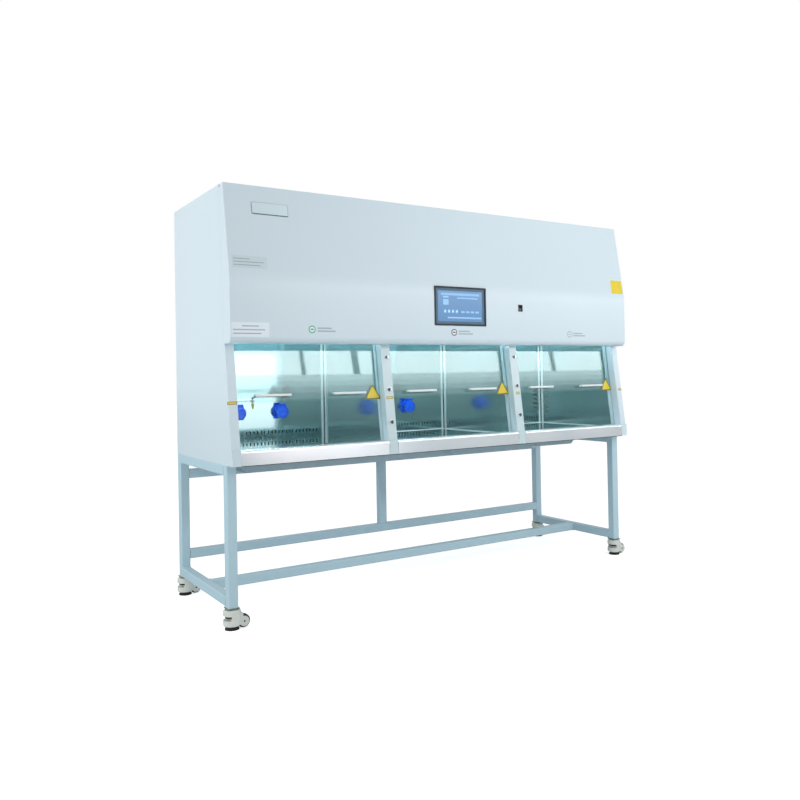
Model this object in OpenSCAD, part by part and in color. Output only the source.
// Three-bay biosafety cabinet on a tube stand with levelling castors.
// Front faces -Y, +Z is up, and the origin is the bottom centre of the whole object's box.

/* [Cabinet] */
// Overall width of the cabinet
cabinet_w = 2400; // [2100:10:2600]
// Overall depth of the cabinet
cabinet_d = 800; // [780:5:880]
// Height of the cabinet above its stand
cabinet_h = 1225; // [1215:5:1300]
// Lean of the window plane from vertical, in degrees
window_lean = 7.7; // [6:0.1:8]
// Thickness of the sheet metal
sheet = 2; // [1.5:0.1:2.5]

/* [Front cover] */
// Height of the cover's lower edge above the cabinet's base
cover_lift = 526; // [515:1:540]
// Height of the bend above the cover's lower edge
cover_bend_h = 283; // [260:1:320]
// Setback of the cover's top edge behind its lower face
cover_setback = 70; // [60:1:75]
// Radius of the rounded lower edge
cover_edge_r = 30; // [20:1:36]
// Radius of the soft bend across the face
cover_bend_r = 600; // [400:10:900]
// Depth of the cover's side flange at the lower edge
flange_low = 84; // [80:1:90]
// Depth of the cover's side flange at the top edge
flange_high = 118; // [117:1:122]
// Running gap between the cover and the casing
cover_gap = 1; // [0.8:0.1:1.6]
// Radius of the cover's hinge pins
hinge_pin_r = 2; // [1.5:0.1:2.5]

/* [Control panel] */
// Width of the touch screen's frame
screen_w = 321; // [260:1:360]
// Height of the touch screen's frame
screen_h = 197; // [150:1:220]
// Width of the screen frame's border
screen_border = 8; // [6:1:14]
// Width of the power rocker's frame
rocker_w = 29; // [24:1:36]
// Height of the power rocker's frame
rocker_h = 36; // [30:1:44]
// Distance from the cabinet's middle to the power rocker
rocker_x = 402; // [300:1:460]

/* [Windows] */
// Thickness of the window glass
glass_t = 6; // [5:0.5:8]
// Height of the window glass, along its own plane
glass_h = 510; // [490:5:520]
// Free height under a window at rest
window_opening = 200; // [180:5:220]
// Depth of the groove that holds the glass edge
groove_depth = 12; // [10:1:16]
// Play of the glass in its groove, each side
groove_play = 0.5; // [0.4:0.1:0.9]
// Length of a window handle
handle_l = 175; // [140:5:220]
// Distance between the two handles of a window
handle_pitch = 385; // [320:5:420]

/* [Chambers] */
// Width of a column between two bays
column_w = 50; // [44:1:60]
// Depth of a column in front of the glass
column_front = 45; // [40:1:48]
// Depth of a column behind the glass
column_rear = 22; // [18:1:24]
// Length of a column along its lean
column_l = 1060; // [1050:5:1080]
// Width of the jamb at each end of the front
jamb_w = 40; // [36:1:50]
// Width of a partition between two chambers
partition_w = 40; // [30:1:44]
// Depth of the return duct behind the chambers
return_duct = 100; // [80:1:110]
// Height of the work surface above the base
tray_h = 10; // [8:1:14]
// Height of the chamber ceiling above the base
ceiling_h = 690; // [660:1:700]
// Height of the armrest above the base
armrest_h = 67; // [60:1:75]
// Depth of the armrest
armrest_d = 70; // [66:1:76]
// Width of an air slot in the back walls
slot_w = 6; // [5:0.5:8]
// Height of an air slot in the back walls
slot_h = 16; // [12:1:20]
// Pitch of the air slots
slot_pitch = 20; // [16:1:30]
// Depth of the drain sump under each bay
sump_h = 45; // [30:1:60]

/* [Sockets] */
// Radius of a socket's round barrel
socket_r = 33; // [30:1:38]
// Depth of a socket's barrel
socket_d = 30; // [24:1:40]
// Thickness of a socket lid
lid_t = 10; // [8:1:14]

/* [Stand] */
// Height of the stand's legs
stand_h = 615; // [560:5:700]
// Outside width of the square tube
tube = 45; // [40:1:50]
// Wall of the square tube
tube_wall = 2; // [1.5:0.5:3]
// Setback of the front legs behind the cover's lower face
leg_inset = 75; // [60:1:90]
// Height of the back beam's underside above the legs' lower ends
back_beam_h = 85; // [60:1:140]
// Gap between the cabinet and the rear top rail
top_rail_drop = 80; // [60:1:120]

/* [Castors] */
// Height of a castor with its foot on the floor
castor_h = 95; // [92:1:110]
// Radius of a castor wheel
wheel_r = 29; // [26:0.5:30]
// Width of a castor wheel
wheel_w = 24; // [20:1:26]
// Sideways distance from the swivel to the wheel's axle
wheel_trail = 50; // [50:1:54]
// Radius of the castor's hub
hub_r = 38; // [36:0.5:38]
// Radius of the levelling foot
foot_r = 31; // [27:0.5:31]
// Radius of the threaded foot stem
stem_r = 6; // [5:0.5:7]

/* [Hidden] */

// Clearances: along a shaft's radius, between sliding faces, and past a cut
running = 0.06;
seat = 0.3;
eps = 1;

bays = 3;
pitch = cabinet_w / bays;

// How far the castors and the screen frame stand out past the cabinet's own box
plate_w = 54;
side_reach = max(hub_r, plate_w / 2) - tube / 2;
wheel_reach = wheel_trail + wheel_r - tube / 2;
bezel_proud = 3;
xl = -cabinet_w / 2 + (side_reach - wheel_reach) / 2;
yf = -cabinet_d / 2 + (bezel_proud - side_reach) / 2;
xr = xl + cabinet_w;
yb = yf + cabinet_d;
base = castor_h + stand_h;
top = base + cabinet_h;

cover_z = base + cover_lift;
deck_z = base + ceiling_h;
tray_z = base + tray_h;
wall_y = yb - return_duct;
column_d = column_front + glass_t + 2 * groove_play + column_rear;
foot_block_d = 14;
jamb_d = (column_front - 2) / cos(window_lean);
plenum_setback = 228;
plenum_y = yf + plenum_setback;

// Cover outline: bend angle, start of the bend, and the hinge line
bend_angle = atan(cover_setback / (cabinet_h - cover_lift - cover_bend_h));
bend_z = cover_z + cover_bend_h - cover_bend_r * tan(bend_angle / 2);
hinge_y = yf + flange_high - 5;
hinge_z = top - 6;
knuckle_r = hinge_pin_r + 2;
knuckle_l = 20;
hinge_xs = [for (i = [0:3]) xl + 120 + i * (cabinet_w - 240) / 3];
cover_lip = 60;

screen_x = xl + cabinet_w / 2 + 8;
screen_z = cover_z + 194;
switch_x = xl + cabinet_w / 2 + rocker_x;
switch_z = cover_z + 197;

// Position of the glass along the leaning plane
glass_y = column_front + groove_play;
glass_z = ((armrest_h + window_opening) + (glass_y + glass_t / 2) * sin(window_lean)) / cos(window_lean);
handle_r = 6;
handle_off = 20;

// Castor levels
plate_t = 4;
boss_h = 5;
housing_top = castor_h - plate_t - boss_h;
housing_low = 16;
axle_z = wheel_r + 1;
axle_r = 4;
cheek_in = wheel_w / 2 + 1;
cheek_out = cheek_in + 5;
dial_r = hub_r - 8;
dial_h = 9.4;
dial_z = axle_z + wheel_r - 7;
foot_travel = 12;
leg_x = [xl + tube / 2, xr - tube / 2];
leg_y = [yf + leg_inset + tube / 2, yb - tube / 2];
castor_at = [[leg_x[0], leg_y[0]], [leg_x[1], leg_y[0]], [leg_x[0], leg_y[1]], [leg_x[1], leg_y[1]]];

// Sockets: across from the cabinet's left side, and height above the base
socket_at = [280, 515, 1310];
socket_z = base + 195;
socket_front = wall_y - 4 - socket_d;
lid_hinge_y = socket_front - seat - lid_t / 2;
lid_hinge_z = socket_z + socket_r + 9;

body_blue = [0.84, 0.90, 0.94];
stand_blue = [0.69, 0.80, 0.87];
steel = [0.72, 0.76, 0.77];
alu = [0.80, 0.84, 0.86];
dark = [0.10, 0.11, 0.12];
socket_blue = [0.02, 0.33, 0.98];

// Left and right limits of bay i's clear front opening
function open_l(i) = i == 0 ? xl + jamb_w : xl + i * pitch + column_w / 2;
function open_r(i) = i == bays - 1 ? xr - jamb_w : xl + (i + 1) * pitch - column_w / 2;
// Left and right limits of chamber i inside its walls
function room_l(i) = i == 0 ? xl + jamb_w : xl + i * pitch + partition_w / 2;
function room_r(i) = i == bays - 1 ? xr - jamb_w : xl + (i + 1) * pitch - partition_w / 2;
function bay_mid(i) = xl + (i + 0.5) * pitch;
function lean_y(z) = yf + (z - base) * tan(window_lean);
function seam_y(z) = yf + flange_low + (z - cover_z) * (flange_high - flange_low) / (top - cover_z);

// Places children in the plane of the windows: local z runs up the lean, local y into the cabinet
module leaned() {
    translate([0, yf, base]) rotate([-window_lean, 0, 0]) children();
}

// Turns a profile drawn as (depth, height) into a bar running along +X
module along_x(x, l) {
    translate([x, 0, 0]) rotate([90, 0, 90]) linear_extrude(l) children();
}

module above_base() {
    translate([xl - 100, yf - 100, base]) cube([cabinet_w + 200, cabinet_d + 200, cabinet_h]);
}

// Side panels

module side_profile() {
    polygon([[yf, base], [lean_y(cover_z - cover_gap), cover_z - cover_gap],
        [seam_y(cover_z) + cover_gap, cover_z - cover_gap],
        [seam_y(top) + cover_gap, top], [yb, top], [yb, base]]);
}

// Leaning outline of the jamb, moved inwards and run on past both ends
module jamb_profile(inset, past) {
    low = base - past;
    high = cover_z - cover_gap + past;
    depth = jamb_d - inset;
    polygon([[lean_y(low) + inset, low], [lean_y(high) + inset, high],
        [lean_y(high) + depth, high], [lean_y(low) + depth, low]]);
}

// Hollow jamb behind the panel's slanted front edge, closed towards the bay
module jamb() {
    difference() {
        along_x(xl, jamb_w) jamb_profile(0, 0);
        along_x(xl + sheet, jamb_w - 2 * sheet) jamb_profile(sheet, eps);
    }
}

module jamb_foot() {
    translate([xl, yf, base]) cube([jamb_w, foot_block_d, armrest_h]);
}

module side_panel() {
    color(body_blue) {
        union() {
            along_x(xl, sheet) side_profile();
            jamb();
            jamb_foot();
        }
    }
}

module left_side_panel() {
    side_panel();
}

module right_side_panel() {
    translate([xl + xr, 0, 0]) mirror([1, 0, 0]) side_panel();
}

// Back and top

module back_panel() {
    inset = 60;
    rib = 40;
    color(body_blue) difference() {
        translate([xl + sheet, yb - sheet, base]) cube([cabinet_w - 2 * sheet, sheet, cabinet_h - sheet]);
        translate([inlet_x - inlet_hole_w / 2, yb - sheet - eps, inlet_z - inlet_hole_h / 2])
            cube([inlet_hole_w, sheet + 2 * eps, inlet_hole_h]);
    }
    color(body_blue) for (i = [0:bays - 1])
        translate([xl + i * pitch + inset, yb - sheet - 8, base + inset])
            cube([rib, 8, cabinet_h - 2 * inset]);
}

inlet_x = xr - 140;
inlet_z = top - 160;
inlet_hole_w = 48;
inlet_hole_h = 28;

// Flush mains inlet: a shrouded recess with three contact blades
module power_inlet() {
    depth = 26;
    wall = 2;
    color(dark) {
        difference() {
            union() {
                translate([inlet_x - inlet_hole_w / 2 + 0.2, yb - sheet - depth, inlet_z - inlet_hole_h / 2 + 0.2])
                    cube([inlet_hole_w - 0.4, sheet + depth, inlet_hole_h - 0.4]);
                translate([inlet_x - inlet_hole_w / 2 - 5, yb, inlet_z - inlet_hole_h / 2 - 5])
                    cube([inlet_hole_w + 10, 2.5, inlet_hole_h + 10]);
            }
            translate([inlet_x - inlet_hole_w / 2 + wall + 8, yb - depth + 4, inlet_z - inlet_hole_h / 2 + wall + 2])
                cube([inlet_hole_w - 2 * wall - 16, depth + 4, inlet_hole_h - 2 * wall - 4]);
        }
        for (dx = [-7, 0, 7])
            translate([inlet_x + dx - 1, yb - depth + 3.5, inlet_z - 3]) cube([2, 16, 6]);
    }
}

module top_panel() {
    front = seam_y(top) + cover_gap;
    color(body_blue) difference() {
        union() {
            translate([xl + sheet, front, top - sheet]) cube([cabinet_w - 2 * sheet, yb - front, sheet]);
            translate([xl + sheet, front, top - 40]) cube([cabinet_w - 2 * sheet, sheet, 40]);
        }
        for (i = [0:bays - 1])
            translate([bay_mid(i) - exhaust_w / 2, exhaust_y - exhaust_d / 2, top - sheet - eps])
                cube([exhaust_w, exhaust_d, sheet + 2 * eps]);
    }
}

// Louvred guards let into the exhaust openings
module exhaust_guards() {
    rim = 14;
    bar = 4;
    count = 17;
    gap = (exhaust_w - 2 * rim - bar) / count;
    color(alu) for (i = [0:bays - 1])
        translate([bay_mid(i) - exhaust_w / 2 + seat, exhaust_y - exhaust_d / 2 + seat, top - sheet]) {
            difference() {
                cube([exhaust_w - 2 * seat, exhaust_d - 2 * seat, sheet]);
                for (k = [0:count - 1])
                    translate([rim + bar / 2 + k * gap + bar / 2, rim, -eps])
                        cube([gap - bar, exhaust_d - 2 * seat - 2 * rim, sheet + 2 * eps]);
            }
        }
}

// Base with three drain sumps, each with sloping ends

// Ends of each sump as shares of the cabinet's width, and the setback of its front
sump_spans = [[0.025, 0.495], [0.498, 0.754], [0.767, 0.9125]];
sump_setbacks = [120, 120, 200];
sump_rear = 170;

// Sump k, or with an inset the hollow inside it
module sump_trough(k, inset) {
    half = (sump_spans[k][1] - sump_spans[k][0]) * cabinet_w / 2 - inset;
    rim = inset > 0 ? eps : 0;
    translate([xl + (sump_spans[k][0] + sump_spans[k][1]) * cabinet_w / 2, yf + sump_setbacks[k] + inset,
        base + inset]) rotate([90, 0, 180])
        linear_extrude(cabinet_d - sump_rear - sump_setbacks[k] - 2 * inset)
            polygon([[-half, rim], [half, rim], [half - sump_h, -sump_h], [sump_h - half, -sump_h]]);
}

module base_pan() {
    color(body_blue) difference() {
        union() {
            translate([xl + sheet, yf + sheet, base]) cube([cabinet_w - 2 * sheet, cabinet_d - 2 * sheet, sheet]);
            for (k = [0:len(sump_spans) - 1]) sump_trough(k, 0);
        }
        for (k = [0:len(sump_spans) - 1]) sump_trough(k, sheet);
        for (i = [1:bays - 1]) column_footprint(i);
        for (x = [xl + sheet, xr - jamb_w]) translate([x - eps, yf, base - eps])
            cube([jamb_w - sheet + 2 * eps, leaned_depth, sheet + 2 * eps]);
    }
}

// Depth of the leaning columns and jambs measured level with the base
leaned_depth = column_d / cos(window_lean) + 2;

module column_footprint(i) {
    translate([xl + i * pitch - column_w / 2 - seat, yf, base - eps])
        cube([column_w + 2 * seat, leaned_depth, sheet + 2 * eps]);
}

// Filters, deck and blowers

filter_margin = 50;
filter_front = 10;
filter_rear = 22;
filter_w = pitch - 2 * filter_margin;
filter_y = plenum_y + filter_front;
filter_d = wall_y - filter_rear - filter_y;
filter_h = 70;
lid_z = deck_z + sheet + filter_h;

// Exhaust openings in the top, each over a filter with a lip all round
exhaust_inset = 70;
exhaust_lip = 20;
exhaust_filter_h = 68;
exhaust_w = filter_w - 2 * exhaust_inset;
exhaust_d = filter_d - 2 * filter_margin;
exhaust_y = filter_y + sheet + exhaust_lip + exhaust_d / 2;

module filter_box(w, d, h) {
    rim = 20;
    recess = 6;
    difference() {
        cube([w, d, h]);
        translate([rim, rim, -eps]) cube([w - 2 * rim, d - 2 * rim, recess + eps]);
        translate([rim, rim, h - recess]) cube([w - 2 * rim, d - 2 * rim, recess + eps]);
    }
}

module hepa_filters() {
    color("gainsboro") for (i = [0:bays - 1]) {
        translate([bay_mid(i) - filter_w / 2, filter_y, deck_z + sheet]) filter_box(filter_w, filter_d, filter_h);
        translate([bay_mid(i) - exhaust_w / 2 - exhaust_lip, exhaust_y - exhaust_d / 2 - exhaust_lip,
            top - sheet - exhaust_filter_h])
            filter_box(exhaust_w + 2 * exhaust_lip, exhaust_d + 2 * exhaust_lip, exhaust_filter_h);
    }
}

module plenum_shelf() {
    ledge = 24;
    inlet = scroll_r;
    color(alu) difference() {
        union() {
            translate([xl + sheet, plenum_y, deck_z]) cube([cabinet_w - 2 * sheet, wall_y - plenum_y + sheet, sheet]);
            translate([xl + sheet, plenum_y, lid_z]) cube([cabinet_w - 2 * sheet, wall_y - plenum_y + sheet, sheet]);
            translate([xl + sheet, plenum_y, deck_z])
                cube([cabinet_w - 2 * sheet, sheet, top - sheet - deck_z]);
            translate([xl + sheet, wall_y, deck_z]) cube([cabinet_w - 2 * sheet, sheet, filter_h + 2 * sheet]);
        }
        for (i = [0:bays - 1]) {
            translate([bay_mid(i) - filter_w / 2 + ledge, filter_y + ledge, deck_z - eps])
                cube([filter_w - 2 * ledge, filter_d - 2 * ledge, sheet + 2 * eps]);
            translate([bay_mid(i) - inlet / 2, blower_y + blower_rim, lid_z - eps])
                cube([inlet, blower_l - 2 * blower_rim, sheet + 2 * eps]);
        }
    }
}

// Blowers: the scroll takes its share of the room over the filters, rotor and motor theirs of it
plenum_room = top - 2 * sheet - exhaust_filter_h - lid_z;
scroll_share = 0.37;
throat_share = 0.05;
rotor_share = 0.725;
motor_share = 0.41;
blower_setback = 110;
blower_rim = 10;
blower_y = plenum_y + blower_setback;
blower_l = 160;
scroll_r = scroll_share * plenum_room;
throat = throat_share * plenum_room;
blower_z = lid_z + sheet + scroll_r + throat;
rotor_r = rotor_share * scroll_r;
rotor_l = blower_l - 5 * blower_rim;
shaft_r = 8;
motor_r = motor_share * scroll_r;
motor_l = 110;

module blower_housings() {
    for (i = [0:bays - 1]) translate([bay_mid(i), blower_y, blower_z]) {
        color("silver") difference() {
            union() {
                rotate([-90, 0, 0]) cylinder(r = scroll_r, h = blower_l, $fn = 72);
                translate([-scroll_r, 0, -scroll_r - throat]) cube([2 * scroll_r, blower_l, scroll_r + throat]);
            }
            translate([0, sheet, 0]) rotate([-90, 0, 0])
                cylinder(r = scroll_r - sheet, h = blower_l - 2 * sheet, $fn = 72);
            translate([-scroll_r + sheet, sheet, -scroll_r - throat - eps])
                cube([2 * scroll_r - 2 * sheet, blower_l - 2 * sheet, scroll_r + throat + eps]);
            translate([0, -eps, 0]) rotate([-90, 0, 0]) cylinder(r = rotor_r - 15, h = sheet + 2 * eps, $fn = 72);
            translate([0, blower_l - sheet - eps, 0]) rotate([-90, 0, 0])
                cylinder(r = shaft_r + 4, h = sheet + 2 * eps, $fn = 48);
        }
        color(dark) difference() {
            translate([0, blower_l, 0]) rotate([-90, 0, 0]) cylinder(r = motor_r, h = motor_l, $fn = 64);
            translate([0, blower_l - eps, 0]) rotate([-90, 0, 0])
                cylinder(r = shaft_r + running, h = motor_l - 30, $fn = 48);
        }
    }
}

// Forward-curved rotor: back plate, ring and blades on a shaft that runs in the motor
module blower_wheel(i) {
    blades = 18;
    start = 14;
    color("dimgray") translate([bay_mid(i), blower_y + start, blower_z]) rotate([-90, 0, 0]) {
        translate([0, 0, rotor_l]) cylinder(r = rotor_r, h = 3, $fn = 64);
        difference() {
            cylinder(r = rotor_r, h = 6, $fn = 64);
            translate([0, 0, -eps]) cylinder(r = rotor_r - 12, h = 6 + 2 * eps, $fn = 64);
        }
        for (k = [0:blades - 1]) rotate([0, 0, k * 360 / blades])
            translate([rotor_r - 11, -1, 3]) rotate([0, 0, 25]) translate([-5, 0, 0]) cube([14, 2, rotor_l - 2]);
        cylinder_shaft(blower_l - start + motor_l - 36);
    }
}

module cylinder_shaft(l) {
    translate([0, 0, rotor_l - 20]) cylinder(r = shaft_r, h = l - rotor_l + 20, $fn = 48);
    translate([0, 0, rotor_l - 20]) cylinder(r = 22, h = 22, $fn = 48);
}

// Front cover: a folded shell hung on pins at its top edge

// Points of the cover's front line, drawn as (depth, height), moved inwards by t
function cover_line(t) = concat(
    [for (k = [0:8]) let (a = 90 * k / 8)
        [yf + cover_edge_r - (cover_edge_r - t) * sin(a), cover_z + cover_edge_r - (cover_edge_r - t) * cos(a)]],
    [for (k = [0:8]) let (a = bend_angle * k / 8)
        [yf + cover_bend_r - (cover_bend_r - t) * cos(a), bend_z + (cover_bend_r - t) * sin(a)]],
    [let (y = yf + cover_bend_r - (cover_bend_r - t) * cos(bend_angle),
          z = bend_z + (cover_bend_r - t) * sin(bend_angle))
        [y + (top - t - z) * tan(bend_angle), top - t]]);

module cover_outer() {
    polygon(concat(cover_line(0),
        [[hinge_y - 5, top], [hinge_y - 5, top - 14], [seam_y(top - 14), top - 14], [seam_y(cover_z), cover_z]]));
}

module cover_inner() {
    rear = yf + 2 * flange_high;
    polygon(concat(cover_line(sheet), [[rear, top - sheet], [rear, cover_z + sheet]]));
}

module front_cover() {
    color(body_blue) difference() {
        union() {
            difference() {
                along_x(xl, cabinet_w) cover_outer();
                along_x(xl + sheet, cabinet_w - 2 * sheet) cover_inner();
                translate([xl + sheet + seat, yf + cover_lip, cover_z - eps])
                    cube([cabinet_w - 2 * sheet - 2 * seat, flange_high, flange_high]);
            }
            translate([xl + sheet, yf + cover_lip - sheet, cover_z]) cube([cabinet_w - 2 * sheet, sheet, 16]);
            for (x = hinge_xs) translate([x - knuckle_l / 2, 0, 0]) {
                translate([0, hinge_y, hinge_z]) rotate([0, 90, 0]) cylinder(r = knuckle_r, h = knuckle_l, $fn = 32);
                translate([0, hinge_y - 22, hinge_z + knuckle_r - sheet]) cube([knuckle_l, 22, sheet]);
            }
        }
        for (x = hinge_xs) translate([x - knuckle_l / 2 - eps, hinge_y, hinge_z]) rotate([0, 90, 0])
            cylinder(r = hinge_pin_r + running, h = knuckle_l + 2 * eps, $fn = 32);
        translate([screen_x - screen_w / 2 + 3, yf - eps, screen_z - screen_h / 2 + 3])
            cube([screen_w - 6, 40, screen_h - 6]);
        translate([switch_x - rocker_w / 2 + 3, yf - eps, switch_z - rocker_h / 2 + 3])
            cube([rocker_w - 6, 20, rocker_h - 6]);
    }
}

// Fixed halves of the hinges, with their pins, on the top panel's front flange
module cover_hinges() {
    leaf_y = seam_y(top) + cover_gap - sheet;
    color(alu) for (x = hinge_xs) {
        translate([x - 1.5 * knuckle_l - 0.5, hinge_y, hinge_z]) rotate([0, 90, 0])
            cylinder(r = hinge_pin_r, h = 3 * knuckle_l + 1, $fn = 32);
        for (dx = [-1.5 * knuckle_l - 0.5, 0.5 * knuckle_l + 0.5]) translate([x + dx, 0, 0]) {
            translate([0, hinge_y, hinge_z]) rotate([0, 90, 0]) cylinder(r = knuckle_r, h = knuckle_l, $fn = 32);
            translate([0, hinge_y, hinge_z - knuckle_r]) cube([knuckle_l, leaf_y + sheet - hinge_y, sheet]);
        }
        translate([x - 1.5 * knuckle_l - 0.5, leaf_y, top - 36])
            cube([3 * knuckle_l + 1, sheet, 36 - 6 - knuckle_r + sheet]);
    }
}

// Control panel

module control_frames() {
    color("darkslategray") {
        translate([screen_x, yf, screen_z]) difference() {
            union() {
                translate([-screen_w / 2, -bezel_proud, -screen_h / 2]) cube([screen_w, bezel_proud, screen_h]);
                translate([-screen_w / 2 + 3.3, -1, -screen_h / 2 + 3.3]) cube([screen_w - 6.6, 13, screen_h - 6.6]);
            }
            translate([-screen_w / 2 + screen_border, -bezel_proud - eps, -screen_h / 2 + screen_border])
                cube([screen_w - 2 * screen_border, 12, screen_h - 2 * screen_border]);
        }
        translate([switch_x, yf, switch_z]) difference() {
            union() {
                translate([-rocker_w / 2, -1.5, -rocker_h / 2]) cube([rocker_w, 1.5, rocker_h]);
                translate([-rocker_w / 2 + 3.3, -1, -rocker_h / 2 + 3.3]) cube([rocker_w - 6.6, 21, rocker_h - 6.6]);
            }
            translate([-rocker_w / 2 + 4.5, -3, -rocker_h / 2 + 4.5]) cube([rocker_w - 9, 20, rocker_h - 9]);
            translate([-rocker_w, rocker_pivot, 0]) rotate([0, 90, 0])
                cylinder(r = 1.5 + running, h = 2 * rocker_w, $fn = 24);
        }
    }
}

rocker_pivot = 8;
rocker_tilt = 8;

module screen_panel() {
    color("steelblue") translate([screen_x, yf, screen_z])
        translate([-screen_w / 2 + screen_border + seat, 2, -screen_h / 2 + screen_border + seat])
            cube([screen_w - 2 * screen_border - 2 * seat, 6, screen_h - 2 * screen_border - 2 * seat]);
}

// Rocker with two faces in a shallow vee, pivoting on a cross pin
module power_rocker() {
    w = rocker_w - 10;
    h = rocker_h - 14;
    color(dark) translate([switch_x - w / 2, yf + rocker_pivot, switch_z]) {
        rotate([rocker_tilt / 2, 0, 0]) rotate([90, 0, 90]) linear_extrude(w)
            polygon([[-8, -h / 2], [-7, 0], [-8, h / 2], [-3, h / 2 - 1], [4, 0], [-3, -h / 2 + 1]]);
        translate([-1.6, 0, 0]) rotate([0, 90, 0]) cylinder(r = 1.5, h = w + 3.2, $fn = 24);
    }
}

// Columns, tracks and windows

module groove(x) {
    leaned() translate([x, column_front, -40])
        cube([groove_depth + eps, glass_t + 2 * groove_play, column_l + 80]);
}

module column(i) {
    cx = xl + i * pitch;
    color(body_blue) difference() {
        union() {
            intersection() {
                leaned() translate([cx - column_w / 2, 0, -20]) cube([column_w, column_d, column_l + 20]);
                above_base();
            }
            translate([cx - column_w / 2 + 2, yf, base]) cube([column_w - 4, foot_block_d, armrest_h]);
        }
        groove(cx - column_w / 2 - eps);
        groove(cx + column_w / 2 - groove_depth);
        leaned() translate([cx - column_w / 2 + 3, 3, 90])
            cube([column_w - 6, column_front - 6, column_l]);
    }
}

// Extruded tracks behind the two jambs
module track(x, side) {
    intersection() {
        difference() {
            leaned() translate([x, column_front - 2 + running, -20])
                cube([jamb_w - sheet, column_d - column_front + 2 - running, column_l + 20]);
            groove(side > 0 ? x + jamb_w - sheet - groove_depth : x - eps);
        }
        above_base();
    }
}

module window_tracks() {
    color(alu) {
        track(xl + sheet, 1);
        track(xr - jamb_w, -1);
    }
}

function glass_l(i) = open_l(i) - groove_depth + 1.5;
function glass_r(i) = open_r(i) + groove_depth - 1.5;

module window_glass(i) {
    color([0.8, 0.9, 0.92, 0.4]) leaned() translate([glass_l(i), glass_y, glass_z])
        cube([glass_r(i) - glass_l(i), glass_t, glass_h]);
}

// Two bar handles on stand-offs near the lower edge
module window_fittings(i) {
    mid = (open_l(i) + open_r(i)) / 2;
    color("whitesmoke") leaned() {
        for (s = [-1, 1]) translate([mid + s * handle_pitch / 2, glass_y, glass_z + 28]) {
            translate([-handle_l / 2, -handle_off, 0]) rotate([0, 90, 0])
                cylinder(r = handle_r, h = handle_l, $fn = 32);
            for (t = [-1, 1]) translate([t * (handle_l / 2 - 14), -handle_off, 0]) rotate([-90, 0, 0])
                cylinder(r = 4, h = handle_off, $fn = 24);
        }
    }
}

// Armrests, grilles and trays

module armrest_profile(t) {
    r = 12;
    h = armrest_h - t;
    d = armrest_d - 2 * t;
    translate([yf + t, base]) union() {
        translate([0, t > 0 ? -eps : 0]) square([d, h - r + (t > 0 ? eps : 0)]);
        translate([r, 0]) square([d - 2 * r, h]);
        translate([r, h - r]) circle(r = r, $fn = 48);
        translate([d - r, h - r]) circle(r = r, $fn = 48);
    }
}

module armrests() {
    color("lightgray") for (i = [0:bays - 1]) {
        x = open_l(i) + seat;
        l = open_r(i) - open_l(i) - 2 * seat;
        difference() {
            union() {
                along_x(x, l) difference() {
                    armrest_profile(0);
                    armrest_profile(sheet);
                }
                for (end = [x, x + l - sheet]) along_x(end, sheet) armrest_profile(0);
            }
            translate([x - eps, yf + sheet, base - eps]) cube([l + 2 * eps, armrest_d, sheet + eps]);
        }
    }
}

module intake_grilles() {
    y0 = yf + armrest_d + 1;
    d = 44;
    slots = 28;
    color(steel) for (i = [0:bays - 1]) {
        x = room_l(i) + 6;
        l = room_r(i) - room_l(i) - 12;
        gap = (l - 30) / slots;
        difference() {
            translate([x, y0, base + sheet]) cube([l, d, tray_h + 4 - sheet]);
            translate([x + sheet, y0 + sheet, base + sheet - eps])
                cube([l - 2 * sheet, d - 2 * sheet, tray_h + 4 - 2 * sheet + eps]);
            for (k = [0:slots - 1]) translate([x + 15 + k * gap + gap / 4, y0 + 8, tray_z])
                cube([gap / 2, d - 16, 10]);
            for (j = [1:bays - 1]) column_footprint_tall(j);
            for (tx = [xl, xr - jamb_w - seat]) translate([tx, yf, base])
                cube([jamb_w + seat, leaned_depth + 6, 60]);
        }
    }
}

module column_footprint_tall(i) {
    translate([xl + i * pitch - column_w / 2 - seat, yf, base - eps])
        cube([column_w + 2 * seat, leaned_depth + 6, 60]);
}

module work_trays() {
    y0 = yf + armrest_d + 46;
    color(steel) for (i = [0:bays - 1]) {
        x = room_l(i) + 1;
        l = room_r(i) - room_l(i) - 2;
        difference() {
            translate([x, y0, base + sheet]) cube([l, wall_y - 1 - y0, tray_h - sheet]);
            translate([x + sheet, y0 + sheet, base + sheet - eps])
                cube([l - 2 * sheet, wall_y - 1 - y0 - 2 * sheet, tray_h - 2 * sheet + eps]);
        }
    }
}

// Chamber walls

slot_rows = [21, 80];
ladder_slots = 6;
ladder_w = 55;
side_slots = 22;
side_slot_front = 150;
side_slot_rear = 46;
side_slot_step = (wall_y - side_slot_rear - yf - side_slot_front) / (side_slots - 1);

module back_walls() {
    h = deck_z - base - sheet;
    color(steel) for (i = [0:bays - 1]) {
        l = room_r(i) - room_l(i);
        n = floor((l - 70) / slot_pitch);
        start = room_l(i) + (l - (n - 1) * slot_pitch) / 2;
        difference() {
            translate([room_l(i), wall_y, base + sheet]) cube([l, sheet, h]);
            for (row = slot_rows) for (k = [0:n - 1])
                translate([start + k * slot_pitch - slot_w / 2, wall_y - eps, base + row])
                    cube([slot_w, sheet + 2 * eps, slot_h]);
            if (i == bays - 1) for (k = [0:ladder_slots - 1])
                translate([room_r(i) - ladder_w - 10, wall_y - eps, base + 118 + k * 28])
                    cube([ladder_w, sheet + 2 * eps, slot_w]);
        }
    }
}

// Outline of a chamber's side wall, from the leaning front to the back wall
module room_side(front_gap) {
    polygon([[lean_y(base + sheet) + front_gap, base + sheet], [lean_y(deck_z) + front_gap, deck_z],
        [wall_y + sheet, deck_z], [wall_y + sheet, base + sheet]]);
}

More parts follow.
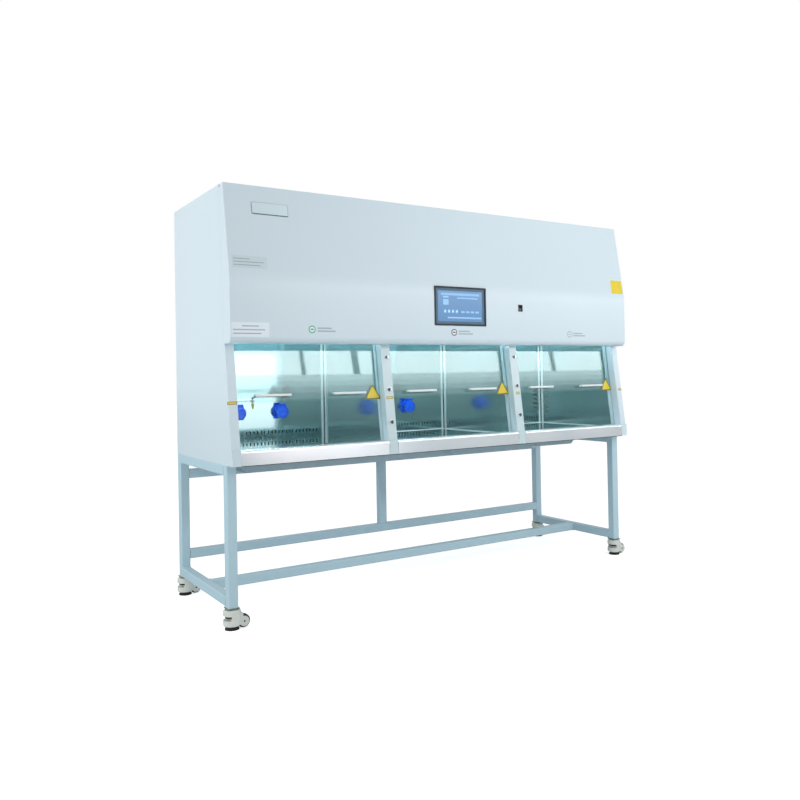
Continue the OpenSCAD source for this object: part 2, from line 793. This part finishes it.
// The same outline moved inwards, left open below and behind
module room_side_hollow(front_gap) {
    polygon([[lean_y(base) + front_gap, base], [lean_y(deck_z - sheet) + front_gap, deck_z - sheet],
        [wall_y + 2 * sheet, deck_z - sheet], [wall_y + 2 * sheet, base]]);
}

module partitions() {
    front_gap = column_d / cos(window_lean) + seat;
    color(steel) for (i = [1:bays - 1]) {
        x = xl + i * pitch - partition_w / 2;
        difference() {
            along_x(x, partition_w) room_side(front_gap);
            along_x(x + sheet, partition_w - 2 * sheet) room_side_hollow(front_gap + sheet);
            if (i == bays - 1) for (k = [0:side_slots - 1])
                translate([x - eps, yf + side_slot_front + k * side_slot_step, base + slot_rows[1]])
                    cube([sheet + 2 * eps, slot_w, slot_h]);
        }
    }
}

module side_liners() {
    front_gap = column_d / cos(window_lean) + seat;
    color(steel) {
        along_x(xl + jamb_w - sheet, sheet) room_side(front_gap);
        along_x(xr - jamb_w, sheet) room_side(front_gap);
    }
}

// Perforated ceiling plates under the supply filters
module diffusers() {
    margin = 20;
    slot = 10;
    count = 16;
    w = filter_w - 2 * margin;
    d = filter_d - 2 * margin;
    step = (w - 3 * margin - 2 * slot) / (count - 1);
    color("white") for (i = [0:bays - 1])
        translate([bay_mid(i) - w / 2, filter_y + margin, deck_z - sheet]) difference() {
            cube([w, d, sheet]);
            for (k = [0:count - 1])
                translate([(w - slot - (count - 1) * step) / 2 + k * step, margin, -eps])
                    cube([slot, d - 2 * margin, sheet + 2 * eps]);
        }
}

// One fluorescent lamp and one ultraviolet lamp per chamber, in clips under the deck
module lamp(x, y, l, r) {
    color("white") {
        translate([x - l / 2, y, deck_z - r - 8]) rotate([0, 90, 0]) cylinder(r = r, h = l, $fn = 32);
        for (s = [-1, 1]) translate([x + s * (l / 2 + 6) - 9, y - r - 2, deck_z - 2 * r - 10])
            cube([18, 2 * r + 4, 2 * r + 10]);
    }
}

lamp_r = 13;
lamp_end = 105;
uv_r = 8;
uv_end = 185;

module lamps() {
    for (i = [0:bays - 1]) {
        lamp(bay_mid(i), plenum_y + lamp_r, pitch - 2 * lamp_end, lamp_r);
        lamp(bay_mid(i), wall_y - 2 * uv_r + 1, pitch - 2 * uv_end, uv_r);
    }
}

// Gas tap on the left wall of the first chamber, with its nozzle turned down
module service_tap() {
    x = xl + jamb_w;
    y = yf + 200;
    z = base + 275;
    reach = 132;
    color("silver") {
        translate([x, y, z]) rotate([0, 90, 0]) cylinder(r = 16, h = 4, $fn = 40);
        translate([x, y, z]) rotate([0, 90, 0]) cylinder(r = 6, h = reach, $fn = 32);
        translate([x + reach, y, z]) sphere(r = 8, $fn = 32);
        translate([x + reach, y, z - 22]) cylinder(r = 5, h = 22, $fn = 32);
    }
    color("gold") translate([x + reach, y, z - 40]) cylinder(r1 = 3, r2 = 6, h = 18, $fn = 32);
}

// Sockets with sprung flip lids

module socket_boxes() {
    color(socket_blue) for (sx = socket_at) translate([xl + sx, 0, 0]) {
        difference() {
            union() {
                translate([-socket_r - 2, wall_y - 4, socket_z - socket_r - 3])
                    cube([2 * socket_r + 4, 4, 2 * socket_r + 6]);
                translate([0, wall_y, socket_z]) rotate([90, 0, 0])
                    cylinder(r = socket_r, h = wall_y - socket_front, $fn = 48);
                for (dx = [-17, 9]) {
                    translate([dx, lid_hinge_y, lid_hinge_z]) rotate([0, 90, 0])
                        cylinder(r = 4.5, h = 8, $fn = 32);
                    translate([dx, lid_hinge_y, socket_z + socket_r - 6])
                        cube([8, socket_front - lid_hinge_y + 4, 14]);
                }
            }
            translate([0, socket_front + 24, socket_z]) rotate([90, 0, 0]) cylinder(r = 24, h = 30, $fn = 48);
            translate([-20, lid_hinge_y - 6, socket_z + socket_r - 7]) cube([40, socket_front - lid_hinge_y + 6, 9.3]);
        }
        translate([-17, lid_hinge_y, lid_hinge_z]) rotate([0, 90, 0]) cylinder(r = 2, h = 34, $fn = 24);
    }
}

module socket_lid(i) {
    color(socket_blue) translate([xl + socket_at[i], 0, 0]) difference() {
        union() {
            translate([0, socket_front - seat, socket_z]) rotate([90, 0, 0])
                cylinder(r = socket_r, h = lid_t, $fn = 48);
            translate([0, socket_front - seat - lid_t + 1, socket_z]) rotate([90, 0, 0])
                cylinder(r1 = socket_r - 3, r2 = socket_r - 7, h = 4, $fn = 48);
            translate([-8.7, lid_hinge_y, lid_hinge_z]) rotate([0, 90, 0]) cylinder(r = 4.5, h = 17.4, $fn = 32);
            translate([-8.7, lid_hinge_y - 3, socket_z + socket_r - 6]) cube([17.4, 6, 15]);
        }
        translate([-20, lid_hinge_y, lid_hinge_z]) rotate([0, 90, 0]) cylinder(r = 2 + running, h = 40, $fn = 24);
        for (s = [-1, 1]) translate([s * 13 - 4.5, lid_hinge_y - 6, lid_hinge_z - 14]) cube([9, 12, 24]);
    }
}

// Stand

// Square section with rounded corners, less its bore
module tube_section() {
    difference() {
        rounded_square(tube, 5);
        rounded_square(tube - 2 * tube_wall, 3);
    }
}

module rounded_square(w, r) {
    square([w, w - 2 * r], center = true);
    square([w - 2 * r, w], center = true);
    for (sx = [-1, 1], sy = [-1, 1]) translate([sx * (w / 2 - r), sy * (w / 2 - r)]) circle(r = r, $fn = 24);
}

module upright(x, y, z, l) {
    translate([x, y, z]) linear_extrude(l) tube_section();
}

module rail_x(x, y, z, l) {
    translate([x, y, z]) rotate([90, 0, 90]) linear_extrude(l) tube_section();
}

module rail_y(x, y, z, l) {
    translate([x, y, z]) rotate([-90, 0, 0]) linear_extrude(l) tube_section();
}

mid_leg_x = xl + cabinet_w / 2 - tube / 2;
back_beam_z = castor_h + back_beam_h + tube / 2;

module stand_legs() {
    color(stand_blue) {
        for (p = castor_at) upright(p[0], p[1], castor_h, stand_h);
        upright(mid_leg_x, leg_y[1], back_beam_z + tube / 2, base - back_beam_z - tube / 2);
    }
}

module stand_rails() {
    span_x = cabinet_w - 2 * tube;
    span_y = leg_y[1] - leg_y[0] - tube;
    rear_z = base - top_rail_drop - tube / 2;
    left = xl + tube;
    color(stand_blue) {
        for (x = leg_x, z = [castor_h + tube / 2, base - tube / 2]) rail_y(x, leg_y[0] + tube / 2, z, span_y);
        rail_x(left, leg_y[1], back_beam_z, span_x);
        rail_x(left, leg_y[1], rear_z, mid_leg_x - tube / 2 - left);
        rail_x(mid_leg_x + tube / 2, leg_y[1], rear_z, xr - tube - mid_leg_x - tube / 2);
        rail_x(left, (leg_y[0] + leg_y[1]) / 2, castor_h + tube / 2, span_x);
    }
}

// Castors: plate, swivelling housing, wheel, and a levelling foot turned by a dial

module castor_plates() {
    color("darkseagreen") for (p = castor_at) translate([p[0], p[1], 0]) {
        translate([-plate_w / 2, -plate_w / 2, castor_h - plate_t]) cube([plate_w, plate_w, plate_t]);
        translate([0, 0, housing_top + seat]) cylinder(r = 20, h = boss_h - seat, $fn = 48);
        translate([0, 0, dial_z + dial_h + 10]) cylinder(r = 7, h = castor_h - plate_t - dial_z - dial_h - 10, $fn = 48);
    }
}

module castor_housing(i) {
    bevel = 5;
    notch_x = 28;
    color("ghostwhite") translate([castor_at[i][0], castor_at[i][1], 0]) difference() {
        union() {
            translate([0, 0, housing_low + bevel])
                cylinder(r = hub_r, h = housing_top - housing_low - 2 * bevel, $fn = 64);
            translate([0, 0, housing_low]) cylinder(r1 = hub_r - bevel, r2 = hub_r, h = bevel, $fn = 64);
            translate([0, 0, housing_top - bevel]) cylinder(r1 = hub_r, r2 = hub_r - bevel, h = bevel, $fn = 64);
            translate([0, -cheek_out, axle_z - 10]) cube([wheel_trail - 5, 2 * cheek_out, wheel_r + 18]);
            translate([wheel_trail, cheek_out, axle_z]) rotate([90, 0, 0])
                cylinder(r = wheel_r - 7, h = 2 * cheek_out, $fn = 64);
        }
        translate([wheel_trail, cheek_in, axle_z]) rotate([90, 0, 0])
            cylinder(r = wheel_r + 2, h = 2 * cheek_in, $fn = 64);
        translate([wheel_trail, cheek_out + eps, axle_z]) rotate([90, 0, 0])
            cylinder(r = axle_r + running, h = 2 * cheek_out + 2 * eps, $fn = 32);
        translate([0, 0, housing_low - eps]) cylinder(r = stem_r + running, h = 60, $fn = 32);
        translate([0, 0, dial_z - seat]) cylinder(r = dial_r + seat, h = dial_h + 2 * seat, $fn = 64);
        translate([-hub_r - eps, -hub_r - eps, dial_z - 10])
            cube([notch_x, 2 * hub_r + 2 * eps, dial_h + 10 + seat]);
        translate([0, 0, dial_z + dial_h + 10 - seat]) cylinder(r = 7 + running, h = 60, $fn = 48);
    }
}

module castor_wheel(i) {
    edge = 4;
    half = wheel_w / 2;
    color(dark) translate([castor_at[i][0] + wheel_trail, castor_at[i][1], axle_z]) rotate([90, 0, 0]) {
        rotate_extrude($fn = 64) polygon([[0, -half + 3], [wheel_r - 11, -half + 3], [wheel_r - 9, -half],
            [wheel_r - edge, -half], [wheel_r, -half + edge], [wheel_r, half - edge], [wheel_r - edge, half],
            [wheel_r - 9, half], [wheel_r - 11, half - 3], [0, half - 3]]);
        translate([0, 0, -cheek_out]) cylinder(r = axle_r, h = 2 * cheek_out, $fn = 32);
    }
}

module levelling_foot(i) {
    color(dark) translate([castor_at[i][0], castor_at[i][1], 0]) {
        cylinder(r = foot_r, h = 6, $fn = 64);
        translate([0, 0, 6]) cylinder(r1 = foot_r, r2 = 15, h = 8, $fn = 64);
        cylinder(r = stem_r, h = dial_z + dial_h + 5, $fn = 32);
    }
}

// Knurled dial that turns on the foot's stem inside the housing's window
module foot_dial(i) {
    knurls = 18;
    color(dark) translate([castor_at[i][0], castor_at[i][1], dial_z]) difference() {
        cylinder(r = dial_r, h = dial_h, $fn = 64);
        translate([0, 0, -eps]) cylinder(r = stem_r + running, h = dial_h + 2 * eps, $fn = 32);
        for (k = [0:knurls - 1]) rotate([0, 0, k * 360 / knurls])
            translate([dial_r + 1.2, 0, -eps]) cylinder(r = 2.2, h = dial_h + 2 * eps, $fn = 16);
    }
}

left_side_panel();
right_side_panel();
back_panel();
top_panel();
base_pan();
exhaust_guards();
hepa_filters();
plenum_shelf();
blower_housings();
blower_wheel(0);  // blower_wheel_1
blower_wheel(1);  // blower_wheel_2
blower_wheel(2);  // blower_wheel_3
cover_hinges();
front_cover();
control_frames();
screen_panel();
power_rocker();
column(1);  // column_1
column(2);  // column_2
window_tracks();
window_glass(0);  // window_glass_1
window_glass(1);  // window_glass_2
window_glass(2);  // window_glass_3
window_fittings(0);  // window_fittings_1
window_fittings(1);  // window_fittings_2
window_fittings(2);  // window_fittings_3
armrests();
intake_grilles();
work_trays();
back_walls();
partitions();
side_liners();
diffusers();
lamps();
service_tap();
power_inlet();
socket_boxes();
socket_lid(0);  // socket_lid_1
socket_lid(1);  // socket_lid_2
socket_lid(2);  // socket_lid_3
stand_legs();
stand_rails();
castor_plates();
castor_housing(0);  // castor_housing_1
castor_housing(1);  // castor_housing_2
castor_housing(2);  // castor_housing_3
castor_housing(3);  // castor_housing_4
castor_wheel(0);  // castor_wheel_1
castor_wheel(1);  // castor_wheel_2
castor_wheel(2);  // castor_wheel_3
castor_wheel(3);  // castor_wheel_4
levelling_foot(0);  // levelling_foot_1
levelling_foot(1);  // levelling_foot_2
levelling_foot(2);  // levelling_foot_3
levelling_foot(3);  // levelling_foot_4
foot_dial(0);  // foot_dial_1
foot_dial(1);  // foot_dial_2
foot_dial(2);  // foot_dial_3
foot_dial(3);  // foot_dial_4
